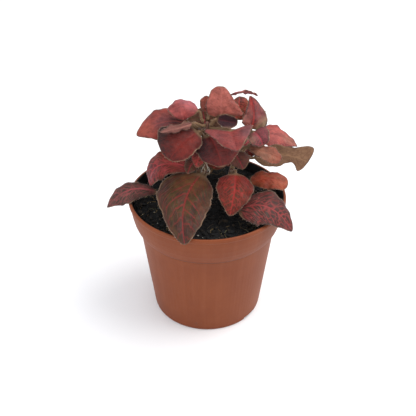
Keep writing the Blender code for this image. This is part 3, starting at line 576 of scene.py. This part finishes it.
class Paint:
    """A material under construction, with short names for the nodes it needs."""

    def __init__(self, name):
        self.material = bpy.data.materials.new(name)
        self.material.use_nodes = True
        tree = self.material.node_tree
        self.nodes, self.links = tree.nodes, tree.links
        self.shader = self.nodes["Principled BSDF"]

    def put(self, socket, value):
        """Link a value to a socket, or set the socket to a number or colour."""
        if isinstance(value, Value):
            self.links.new(value.socket, socket)
        elif isinstance(value, tuple) and len(socket.default_value) == 4:
            socket.default_value = (*value, 1)
        else:
            socket.default_value = value

    def node(self, kind, output, inputs, **settings):
        """A node's output by its name or number, with its inputs set by theirs."""
        made = self.nodes.new("ShaderNode" + kind)
        for key, value in settings.items():
            setattr(made, key, value)
        for key, value in inputs.items():
            self.put(made.inputs[key], value)
        return Value(self, made.outputs[output])

    def math(self, operation, *values):
        return self.node("Math", 0, dict(enumerate(values)), operation=operation)

    def larger(self, a, b):
        return self.math("MAXIMUM", a, b)

    def step(self, low, high, value):
        """A soft step from 0 at low to 1 at high, which may be below low."""
        ends = (low, high, 0, 1) if low < high else (high, low, 1, 0)
        inputs = dict(enumerate((value, *ends)))
        return self.node("MapRange", 0, inputs, interpolation_type="SMOOTHSTEP")

    def mix(self, share, a, b, blend="MIX"):
        return self.node("Mix", 2, {0: share, 6: a, 7: b}, data_type="RGBA", blend_type=blend)

    def times(self, colour, other, share=1):
        return self.mix(share, colour, other, "MULTIPLY")

    def split(self, vector):
        outputs = self.node("SeparateXYZ", 0, {0: vector}).socket.node.outputs
        return [Value(self, output) for output in outputs]

    def join(self, x, y, z):
        return self.node("CombineXYZ", 0, {0: x, 1: y, 2: z})

    def attribute(self, name, output):
        return self.node("Attribute", output, {}, attribute_name=name)

    def noise(self, place, scale, detail=3, roughness=0.5):
        inputs = {"Vector": place, "Scale": scale, "Detail": detail, "Roughness": roughness}
        return self.node("TexNoise", 0, inputs)

    def voronoi(self, place, scale, feature="F1", randomness=1):
        inputs = {"Vector": place, "Scale": scale, "Randomness": randomness}
        return self.node("TexVoronoi", "Distance", inputs, feature=feature)

    def coordinates(self):
        """The place on the object, in metres."""
        return self.node("TexCoord", "Object", {})

    def bump(self, height, distance, strength):
        inputs = {"Strength": strength, "Distance": distance, "Height": height}
        self.put(self.shader.inputs["Normal"], self.node("Bump", 0, inputs))

    def finish(self, colour, roughness, **uniform):
        for key, value in dict(uniform, Base_Color=colour, Roughness=roughness).items():
            self.put(self.shader.inputs[key.replace("_", " ")], value)
        return self.material


def vein_pattern(p, s, c, seed):
    """The side veins, the fine net between them, and how far each place is from the net."""
    # the veins waver a little
    along = s + (p.noise(p.join(s, c, seed), 5, 2) - 0.5) * 0.07
    across = c + (p.noise(p.join(c, s, seed), 6, 2) - 0.5) * 0.12
    reach = abs(across)
    turn = vein_share(along, reach) * VEINS + p.step(-0.01, 0.01, c) * VEIN_STEP
    apart = abs(p.math("FRACT", turn) - 0.5)
    side = 1 - p.step(0.4, 1.3, apart / (0.11 - reach * 0.06))
    side = side * p.step(1.05, 0.7, reach)
    cells = p.voronoi(p.join(turn * 1.5, across * 3.8, seed), 1, "DISTANCE_TO_EDGE", 0.9)
    return side, p.step(0.11, 0.015, cells) * p.step(1.02, 0.8, reach), cells


def leaf_material(name, look):
    """A veined blade with its paler underside, its thin margin and its stalk."""
    p = Paint(name)
    s, c, seed = p.split(p.attribute("leaf_place", "Vector"))
    rim, rib, under = p.split(p.attribute("leaf_reach", "Vector"))
    toned = p.attribute("leaf_tone", "Alpha")
    tint = p.attribute("leaf_tint", "Color")
    place, flat = p.coordinates(), p.join(s, c, seed)
    side, net, cells = vein_pattern(p, s, c, seed)
    # the midrib narrows towards the tip, and all veins fade in places
    middle = 1 - p.step(0.5, 1.2, rib / (0.75 - s * 0.5))
    presence = p.step(0.25, 0.6, p.noise(p.join(s, c, seed + 4), 2.2, 2))
    veins = p.larger(side * look.veins, net * look.net)
    veins = veins * (0.35 + presence * 0.65) * (1 - toned * 0.55)
    middle_share = middle * (0.45 + presence * 0.55)
    veins = p.larger(veins, middle_share * min(1, look.veins + 0.2))
    patchy = p.step(0.35, 0.65, p.noise(flat, 3, 3, 0.6))
    colour = p.mix(patchy, look.patch, look.blotch)
    colour = p.mix(toned, colour, p.attribute("leaf_tone", "Color"))
    # painted light and shade: random clouds of lighter and darker blade, standing in for how
    # light falls on its buckles; and a darker middle in each cell of the net
    clouds = p.step(0.25, 0.75, p.noise(place, 210, 4, 0.65))
    colour = p.times(colour, p.mix(clouds, CLOUD_DARK, CLOUD_PALE))
    colour = p.mix(p.step(0.1, 0.4, cells) * 0.5, colour, p.times(colour, CELL_DARK))
    colour = p.mix(veins, colour, look.vein)
    # pale flecks along the upper midrib, towards its base
    fleck = p.step(0.62, 0.72, p.noise(flat, 60, 1)) * (middle * p.step(0.5, 0.3, s))
    colour = p.mix(fleck * look.flecks, colour, FLECK)
    grain = p.noise(place, 2600, 2)
    colour = p.times(colour, p.mix(grain, GRAIN_DARK, WHITE), 0.35)
    # the paler underside, with its veins standing out
    below = p.mix(p.noise(flat, 8, 3), UNDER_TAN, UNDER_BROWN)
    below = p.mix(p.larger(side, net) * 0.45, below, UNDER_NET)
    below = p.times(p.mix(middle * 0.6, below, UNDER_RIB), p.mix(1, tint, WHITE, "DARKEN"))
    colour = p.mix(under, p.times(colour, tint), below)
    # the thin hairy margin, and the stalk
    rim_colour = p.mix(p.step(0.35, 0.65, p.noise(place, 140, 2)), RIM_DARK, RIM_PALE)
    colour = p.mix(p.step(0.85, 0.2, rim) * 0.85, colour, rim_colour)
    stalk = p.mix(p.noise(place, 500, 2), STALK_OLIVE, STALK_BROWN)
    colour = p.mix(p.step(0.09, 0.01, s), colour, stalk)
    # veins lie in grooves on the upper side and stand out below
    hollow = p.larger(side * 0.8, net * 0.6) * (1 - under * 2)
    p.bump(grain * 0.35 - hollow, 0.00022, 0.8)
    rough = 0.42 + grain * 0.2 + under * 0.2
    return p.finish(colour, rough, Sheen_Weight=0.06, Sheen_Roughness=0.4,
                    Sheen_Tint=(1, 0.75, 0.75), Specular_IOR_Level=0.25)


def stem_material():
    """Streaky bark, reddish in patches and brown at the joints."""
    p = Paint("stem_skin")
    place = p.coordinates()
    x, y, z = p.split(place)
    streak = p.noise(p.join(x, y, z * 0.15), 900)
    colour = p.mix(p.step(0.35, 0.7, streak), rgb(112, 88, 54), rgb(136, 108, 70))
    colour = p.mix(p.step(0.5, 0.75, p.noise(place, 160, 2)), colour, rgb(128, 70, 58))
    colour = p.mix(p.step(0, 1, p.attribute("stem_joint", "Fac")), colour, rgb(104, 64, 48))
    p.bump(streak, 0.0002, 0.7)
    return p.finish(colour, 0.5 + streak * 0.3, Sheen_Weight=0.3)


def hair_material():
    p = Paint("fine_hair")
    shade = p.noise(p.coordinates(), 700, 1)
    return p.finish(p.mix(shade, rgb(196, 168, 146), rgb(226, 204, 186)), 0.6)


def root_material():
    p = Paint("aerial_root")
    grain = p.noise(p.coordinates(), 1500, 2)
    p.bump(grain, 0.0001, 0.5)
    return p.finish(p.mix(grain, rgb(186, 170, 150), rgb(216, 204, 188)), 0.5)


def soil_material():
    """Damp and nearly black, with browner bits."""
    p = Paint("potting_soil_skin")
    place = p.coordinates()
    grain = p.noise(place, 1400, 4, 0.65)
    colour = p.mix(p.step(0.3, 0.7, grain), rgb(6, 7, 9), rgb(20, 19, 20))
    colour = p.mix(p.step(0.64, 0.8, p.noise(place, 420, 3)), colour, rgb(38, 32, 26))
    p.bump(grain - p.voronoi(place, 900) * 0.8, 0.0008, 0.9)
    return p.finish(colour, 0.75 + grain * 0.2, Specular_IOR_Level=0.3)


def crumb_material():
    """Bark, peat and fibres, each piece with its own shade."""
    p = Paint("soil_crumb")
    grain = p.noise(p.coordinates(), 2200, 3)
    colour = p.times(p.attribute("crumb_colour", "Color"), p.mix(grain, rgb(150, 150, 150), WHITE))
    p.bump(grain, 0.0003, 0.8)
    return p.finish(colour, 0.6 + grain * 0.3, Specular_IOR_Level=0.3)


# Steps in height on the pot: where soil marks end, into and out of the painted shade in the
# crease below the collar, and where the black inner side begins
MARKS_TOP, CREASE_SHADE_IN, CREASE_SHADE_OUT = (0.016, 0), (0.0558, 0.0566), (0.0579, 0.0571)
INSIDE_FROM = (0.0028, 0.0034)


def pot_material():
    """Moulded plastic, terracotta outside and black inside."""
    p = Paint("pot_two_tone_plastic")
    place = p.coordinates()
    x, y, z = p.split(place)
    angle = p.math("ARCTAN2", y, x)
    mottle = p.noise(place, 45, 4, 0.6)
    fine = p.noise(place, 1800, 2)
    flow = p.noise(p.join(angle * 9, z * 20, 3), 1, 2)
    colour = p.mix(p.step(0.3, 0.7, mottle), rgb(118, 55, 22), rgb(125, 61, 26))
    colour = p.mix(p.step(0.45, 0.8, flow) * 0.16, colour, rgb(146, 84, 54))
    # soil marks near the foot, and fine scuffs round the pot
    marks = p.step(0.6, 0.76, p.noise(place, 260, 4, 0.7))
    colour = p.mix(marks * p.step(*MARKS_TOP, z) * 0.5, colour, rgb(96, 64, 50))
    scuff = p.step(0.7, 0.8, p.noise(p.join(angle * 40, z * 400, 0), 1, 2))
    colour = p.mix(scuff * 0.18, colour, rgb(184, 130, 104))
    # painted shade: a dark line in the crease below the collar, standing in for its shadow
    crease = p.step(*CREASE_SHADE_IN, z) * p.step(*CREASE_SHADE_OUT, z) * (0.45 + mottle * 0.6)
    colour = p.mix(crease, colour, rgb(84, 44, 28))
    # the black inner side, where the surface looks towards the pot's axis
    nx, ny, _ = p.split(p.node("NewGeometry", "Normal", {}))
    outward = (nx * x + ny * y) / p.math("SQRT", x * x + y * y)
    inside = p.step(-0.25, -0.6, outward) * p.step(*INSIDE_FROM, z)
    colour = p.mix(inside, colour, p.mix(marks, rgb(22, 20, 20), rgb(44, 37, 32)))
    p.bump(fine * 0.3 + flow * 0.15, 0.0001, 0.4)
    return p.finish(colour, 0.5 + (fine + scuff) * 0.12, Specular_IOR_Level=0.3)


# --- leaves


def tone_colours(name, s, c):
    """The tones on one leaf, as a colour and how strongly it covers, at each point."""
    colour = np.zeros((len(s), 4))
    for along, across, reach, shade, strength in TONES.get(name, []):
        far = np.hypot(s - along, (c - across) * 0.5)
        cover = strength * (1 - smooth(0.3 * reach, reach * 1.1, far))
        total = cover + colour[:, 3] * (1 - cover)
        keep = np.where(total > 0, cover / np.maximum(total, 1e-6), 0)[:, None]
        colour[:, :3] = colour[:, :3] * (1 - keep) + np.array(rgb(*shade)) * keep
        colour[:, 3] = total
    return colour


def make_leaf(name, shape, material):
    skin, values = leaf_skin(shape, SEEDS[name])
    node, faces = "leaf_" + name, closed_tube(*skin.shape[:2])
    piece = add_piece(node + "_skin", skin, faces, material, shape.finish + "_leaf", node)
    for key, parts in values.items():
        add_attribute(piece, key, "FLOAT_VECTOR", np.stack(parts, axis=-1))
    s, c, _ = values["leaf_place"]
    add_attribute(piece, "leaf_tone", "FLOAT_COLOR", tone_colours(name, s.ravel(), c.ravel()))
    tint = [(share / 100) ** SCREEN_POWER for share in TINTS.get(name, (100, 100, 100))]
    add_attribute(piece, "leaf_tint", "FLOAT_COLOR", [(*tint, 1)] * s.size)


# --- stems, hairs and roots

STEM_SKIN_POINTS, STEM_SIDES = 24, 22
STEM_SHARE, STEM_TAPER = 0.92, 0.14  # a stem's radius at its foot, and what it loses to its tip
JOINT_SWELL, JOINT_LENGTH = 0.14, 1.2  # how much wider a stem is where a leaf grows, and how far
STEM_END = (0.92, 0.78, 0.55, 0.2)  # how the growing tip closes

HAIR_RADIUS = 0.035
HAIR_TURNS = [TAU * k / 3 for k in range(3)]
HAIR_FACES = [[0, 1, 3], [1, 2, 3], [2, 0, 3], [2, 1, 0]]
HAIR_FOOT = 0.05  # how deep a hair's foot is sunk
HAIR_POINTS = 12  # points along each span of a stem, of which the lowest is in the soil
STEM_HAIR_RADIUS, STEM_HAIRS, STEM_HAIR_LENGTH = STEM_RADIUS * 0.85, 420, 0.8
STALK_HAIRS_PER_MM, RIM_HAIRS_PER_MM, LEAF_HAIR_LENGTH = 5, 2.4, 0.6
RIM_RADIUS = 0.12  # how far a leaf's margin is from the line through its points

# Pale aerial roots that hang from the main stem below the crown
ROOTLETS = [
    [(-1.6, -2.2, 96.5), (-1.9, -4, 95.6), (-1.2, -5, 94.2), (-1.8, -5.2, 93)],
    [(-0.8, -1.8, 97.5), (-0.2, -4.2, 97), (0.4, -5.2, 95.4), (0, -5.6, 94)],
    [(-0.4, -1.4, 95.5), (0.9, -3.4, 95), (1.5, -4.6, 93.6), (0.8, -5.6, 92.6),
     (-0.4, -5.8, 92.8)],
    [(-2.2, -1.8, 94.6), (-3, -3.8, 94.3), (-3.2, -4.8, 93.2)],
    [(0.2, -1.2, 93.4), (1.2, -3, 92.4), (1, -4.4, 91.2)],
]
ROOTLET_POINTS, ROOTLET_SIDES = 8, 8
ROOTLET_RADIUS, ROOTLET_TAPER = 0.14, 0.6


def make_stem(name, material):
    """A tapering stem that swells at each of its joints."""
    line = smooth_route(STEMS[name], STEM_SKIN_POINTS)
    height = line[:, 2]
    joints = sorted(shape.node for shape in LEAVES.values() if shape.stem == name)
    swells = (np.exp(-(((height - joint) / JOINT_LENGTH) ** 2)) for joint in joints)
    swell = np.minimum(sum(swells), 1)
    taper = STEM_SHARE - STEM_TAPER * smooth(height[0], height[-1], height)
    radius = STEM_RADIUS * (taper + JOINT_SWELL * swell)
    radius[-len(STEM_END):] *= STEM_END
    node = name + "_stem"
    piece = add_piece(node + "_skin", *tube(line, radius, STEM_SIDES), material, "stem", node)
    add_attribute(piece, "stem_joint", "FLOAT", np.repeat(swell, STEM_SIDES))


def add_hairs(heap, line, radius, number, length, chance):
    """Tapering three-sided hairs that stand out of a round stem or stalk."""
    forward, right, up = frames_along(line)
    for _ in range(number):
        at = chance.uniform(0.03, 0.97) * (len(line) - 1)
        i = int(at)
        centre = line[i] + (line[i + 1] - line[i]) * (at - i)
        turn = chance.uniform(0, TAU)
        out = right[i] * math.cos(turn) + up[i] * math.sin(turn)
        tilt = unit(out + forward[i] * chance.uniform(-0.3, 0.6))
        root = centre + out * (radius - HAIR_FOOT)
        tip = root + tilt * length * chance.uniform(0.5, 1.2)
        across = unit(np.cross(tilt, forward[i]))
        beside = np.cross(tilt, across)
        spokes = [across * math.cos(a) + beside * math.sin(a) for a in HAIR_TURNS]
        heap.add([*(root + HAIR_RADIUS * spoke for spoke in spokes), tip], HAIR_FACES)


def make_hairs(name, slot, lines, material):
    """One piece of hairs on several lines, each with its radius, hair count and hair length."""
    chance = random.Random(len(lines))
    heap = Heap()
    for line in lines:
        add_hairs(heap, *line, chance)
    add_piece(name, heap.points, heap.faces, material, slot)


def make_all_hairs(material):
    """Hairs on the stems above the soil, on the leaf stalks and on the leaf margins."""

    def on_leaf(line, radius, per_mm):
        return line, radius, int(length_of(line) * per_mm), LEAF_HAIR_LENGTH

    stems = [smooth_route(route, HAIR_POINTS)[HAIR_POINTS:] for route in STEMS.values()]
    lines = [(line, STEM_HAIR_RADIUS, STEM_HAIRS, STEM_HAIR_LENGTH) for line in stems]
    stalks = [stalk_line(shape)[0] for shape in LEAVES.values()]
    lines += [on_leaf(line, STALK_RADIUS, STALK_HAIRS_PER_MM) for line in stalks]
    make_hairs("stem_hairs", "stem", lines, material)
    skins = [leaf_skin(shape, SEEDS[name])[0] for name, shape in LEAVES.items()]
    rims = [skin[STALK_RINGS + 3:, k] for skin in skins for k in (0, skin.shape[1] // 2)]
    lines = [on_leaf(line, RIM_RADIUS, RIM_HAIRS_PER_MM) for line in rims]
    make_hairs("leaf_hairs", "pink_leaf", lines, material)


def make_rootlets(material):
    heap = Heap()
    for route in ROOTLETS:
        line = smooth_route(route, ROOTLET_POINTS)
        taper = 1 - ROOTLET_TAPER * np.linspace(0, 1, len(line))
        heap.add(*tube(line, ROOTLET_RADIUS * taper, ROOTLET_SIDES))
    add_piece("aerial_roots", heap.points, heap.faces, material, "stem")


# --- soil

SOIL_TOP = 70
SOIL_MOUND = 1.5  # how much higher the soil is in the middle
SOIL_LUMPS, SOIL_LUMP_SIZES = 1, (6, 2.7)
SOIL_CRUMBS = [(0.55, 1.3, 3), (0.3, 0.6, 9)]  # height, size and place in the noise
SOIL_LEVEL_EDGE = 0.25  # the lumps fade out over this share of the radius
SOIL_EDGE_GAP = 0.5  # between the soil and the pot's wall
SOIL_TURNS, SOIL_RINGS = 180, 46
SOIL_SIDE_HEIGHTS = (66, 57, 52, 30, 4.6)
SOIL_BOTTOM, SOIL_BOTTOM_RADIUS = 3.9, 30
WALL_HEIGHTS = (4.6, 52, 56.2, 57, 57.7, 59.7, 62.5, 66, 70)  # the pot's inner side
WALL_RADII = (31.4, 37.4, 38, 38.7, 39.3, 40.3, 41.3, 42.1, 42.7)

CRUMB_SEED = 11
CRUMBS, FLECKS, FIBRES = 1500, 26, 130
CRUMB_SHADES = [rgb(20, 19, 19), rgb(28, 25, 23), rgb(40, 33, 27), rgb(15, 15, 17), rgb(60, 48, 36)]
FLECK_SHADE = rgb(214, 208, 196)
FIBRE_SHADES = [rgb(150, 126, 84), rgb(118, 100, 66), rgb(92, 78, 58), rgb(134, 132, 96)]
FIBRE_STEPS = 4
LUMP_RINGS, LUMP_SIDES = 3, 7
LUMP_FACES = closed_ball(LUMP_RINGS, LUMP_SIDES)


def soil_wall(z):
    """The soil's radius at a height: the pot's inner side less a gap."""
    return float(np.interp(z, WALL_HEIGHTS, WALL_RADII)) - SOIL_EDGE_GAP


def polar(radius, angle):
    return radius * math.cos(angle), radius * math.sin(angle)


def noise_at(x, y, size, layer):
    return noise.noise(Vector((x / size, y / size, layer)))


def soil_height(x, y):
    """The CAD solid's lumpy top, with finer crumbs on it."""
    inward = 1 - math.hypot(x, y) / soil_wall(SOIL_TOP)
    coarse, fine = (noise_at(x, y, size, size) for size in SOIL_LUMP_SIZES)
    fade = min(1, max(0, inward) / SOIL_LEVEL_EDGE)
    crumbs = sum(height * noise_at(x, y, size, layer) for height, size, layer in SOIL_CRUMBS)
    return SOIL_TOP + SOIL_MOUND * inward + SOIL_LUMPS * (coarse + 0.5 * fine) * fade + crumbs


def make_soil(material):
    """Rings from the middle of the top, down the wall, to the middle of the bottom."""
    edge = soil_wall(SOIL_TOP)
    rings = [(edge * (i + 1) / SOIL_RINGS, None) for i in range(SOIL_RINGS)]
    rings += [(soil_wall(z), z) for z in SOIL_SIDE_HEIGHTS] + [(SOIL_BOTTOM_RADIUS, SOIL_BOTTOM)]
    points = [(0, 0, soil_height(0, 0))]
    for radius, height in rings:
        for k in range(SOIL_TURNS):
            x, y = polar(radius, TAU * k / SOIL_TURNS)
            points.append((x, y, soil_height(x, y) if height is None else height))
    points.append((0, 0, SOIL_BOTTOM))
    # closed_ball's faces look out of rings that rise, and these fall
    faces = [[face[0], *face[:0:-1]] for face in closed_ball(len(rings), SOIL_TURNS)]
    add_piece("potting_soil_skin", points, faces, material, "soil", "potting_soil")


def lump(chance, size):
    """The points of a small angular crumb: a squashed, roughened and turned ball."""
    stretch = [chance.uniform(0.6, 1.6), chance.uniform(0.5, 1.1), chance.uniform(0.3, 0.8)]
    points = [(0, 0, -1)]
    for i in range(LUMP_RINGS):
        tilt = math.pi * (i + 1) / (LUMP_RINGS + 1)
        for k in range(LUMP_SIDES):
            r = chance.uniform(0.75, 1.15)
            x, y = polar(r * math.sin(tilt), TAU * k / LUMP_SIDES)
            points.append((x, y, -r * math.cos(tilt)))
    points.append((0, 0, 1))
    yaw, pitch = chance.uniform(0, TAU), chance.uniform(-0.6, 0.6)
    (a, b), (c, d) = polar(1, yaw), polar(1, pitch)
    turn = np.array([[a, -b * c, b * d], [b, a * c, -a * d], [0, d, c]])
    return np.array(points) * (np.array(stretch) * size) @ turn.T


def on_soil(chance, least=0):
    """A place on the soil, clear of the pot's wall."""
    radius = (soil_wall(SOIL_TOP) - 1.2) * math.sqrt(chance.uniform(least, 1))
    x, y = polar(radius, chance.uniform(0, TAU))
    return np.array([x, y, soil_height(x, y)])


def fibre_route(chance):
    """A bent way over the soil, which ends early at the pot's wall."""
    x, y, _ = on_soil(chance, 0.4)
    heading = chance.uniform(0, TAU)
    length, bend = chance.uniform(2, 6.5), chance.uniform(-0.5, 0.5)
    route = []
    for k in range(FIBRE_STEPS):
        along_x, along_y = polar(length / FIBRE_STEPS, heading + bend * k)
        x, y = x + along_x, y + along_y
        if math.hypot(x, y) > soil_wall(SOIL_TOP) - 1:
            break
        route.append((x, y, soil_height(x, y) + chance.uniform(0.2, 0.7)))
    return route


def make_crumbs(material):
    """Crumbs of bark and peat, a few pale flecks, and fibres."""
    chance = random.Random(CRUMB_SEED)
    heap = Heap()
    for _ in range(CRUMBS):
        size = 0.35 + chance.random() ** 3
        points = lump(chance, size)
        shade = chance.choice(CRUMB_SHADES)
        heap.add(points + on_soil(chance) + (0, 0, 0.2 * size), LUMP_FACES, shade)
    for _ in range(FLECKS):
        points = lump(chance, chance.uniform(0.25, 0.5))
        heap.add(points + on_soil(chance, 0.45) + (0, 0, 0.25), LUMP_FACES, FLECK_SHADE)
    for _ in range(FIBRES):
        route = fibre_route(chance)
        if len(route) < 3:
            continue
        line = smooth_route(route, 4)
        fibre = tube(line, np.full(len(line), chance.uniform(0.07, 0.17)), 5)
        heap.add(*fibre, chance.choice(FIBRE_SHADES))
    piece = add_piece("soil_crumbs", heap.points, heap.faces, material, "soil")
    add_attribute(piece, "crumb_colour", "FLOAT_COLOR", heap.shades)


# --- pot

SHARP_ANGLE = 38  # degrees from which an edge stays sharp


def finish_pot(material):
    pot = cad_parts["pot"]
    pot.data.materials.clear()
    pot.data.materials.append(material)
    pot.data.shade_smooth()
    pot.data.set_sharp_from_angle(angle=math.radians(SHARP_ANGLE))


# --- studio and camera

FLOOR_HALF = 3000
SKY_COLOUR, SKY_STRENGTH = (0.96, 0.975, 1, 1), 0.95
LIGHT_TARGET = (0, 0, 0.08)
# Each light's place, size, power and colour
LIGHTS = {
    "key": ((0.46, 0.04, 0.72), 0.8, 5.5, (1, 0.98, 0.95)),
    "fill": ((-0.55, -0.4, 0.45), 0.6, 1.35, (0.95, 0.97, 1)),
}
CAMERA_PLACE, CAMERA_TARGET = (0, -0.3293, 0.2930), (0, 0, 0.06585)
CAMERA_SHIFT, LENS = 0.0018, 59.7


def add_thing(name, data, place, target):
    """A light or camera that looks at a target."""
    thing = bpy.data.objects.new(name, data)
    thing.location = place
    aim = Vector(target) - thing.location
    thing.rotation_euler = aim.to_track_quat("-Z", "Y").to_euler()
    bpy.context.scene.collection.objects.link(thing)
    return thing


def studio():
    """A pale floor under an even sky, with a key light and a weaker fill light."""
    p = Paint("pale_floor")
    shade = p.mix(p.noise(p.coordinates(), 6, 2), rgb(243, 244, 246), rgb(247, 247, 248))
    corners = [(x * FLOOR_HALF, y * FLOOR_HALF, 0) for x, y in ((-1, -1), (1, -1), (1, 1), (-1, 1))]
    floor = add_mesh("floor", corners, [[0, 1, 2, 3]], p.finish(shade, 0.9, Specular_IOR_Level=0.1))
    world = bpy.data.worlds.new("studio")
    bpy.context.scene.world = world
    world.use_nodes = True
    background = world.node_tree.nodes["Background"]
    background.inputs["Color"].default_value = SKY_COLOUR
    background.inputs["Strength"].default_value = SKY_STRENGTH
    for name, (place, size, power, colour) in LIGHTS.items():
        light = bpy.data.lights.new(name, "AREA")
        light.shape, light.size, light.energy, light.color = "DISK", size, power, colour
        add_thing(name, light, place, LIGHT_TARGET)


def camera():
    """The photograph's view, from in front and about 35 degrees above."""
    data = bpy.data.cameras.new("camera")
    data.lens, data.shift_x = LENS, CAMERA_SHIFT
    bpy.context.scene.camera = add_thing("camera", data, CAMERA_PLACE, CAMERA_TARGET)


# --- all of it

skins = {name: leaf_material(name + "_leaf_skin", look) for name, look in LOOKS.items()}
for leaf_name, leaf_shape in LEAVES.items():
    make_leaf(leaf_name, leaf_shape, skins[leaf_shape.finish])
stem_skin = stem_material()
for stem_name in STEMS:
    make_stem(stem_name, stem_skin)
make_all_hairs(hair_material())
make_rootlets(root_material())
make_soil(soil_material())
make_crumbs(crumb_material())
finish_pot(pot_material())
studio()
camera()
bpy.context.scene.view_settings.view_transform = "Standard"
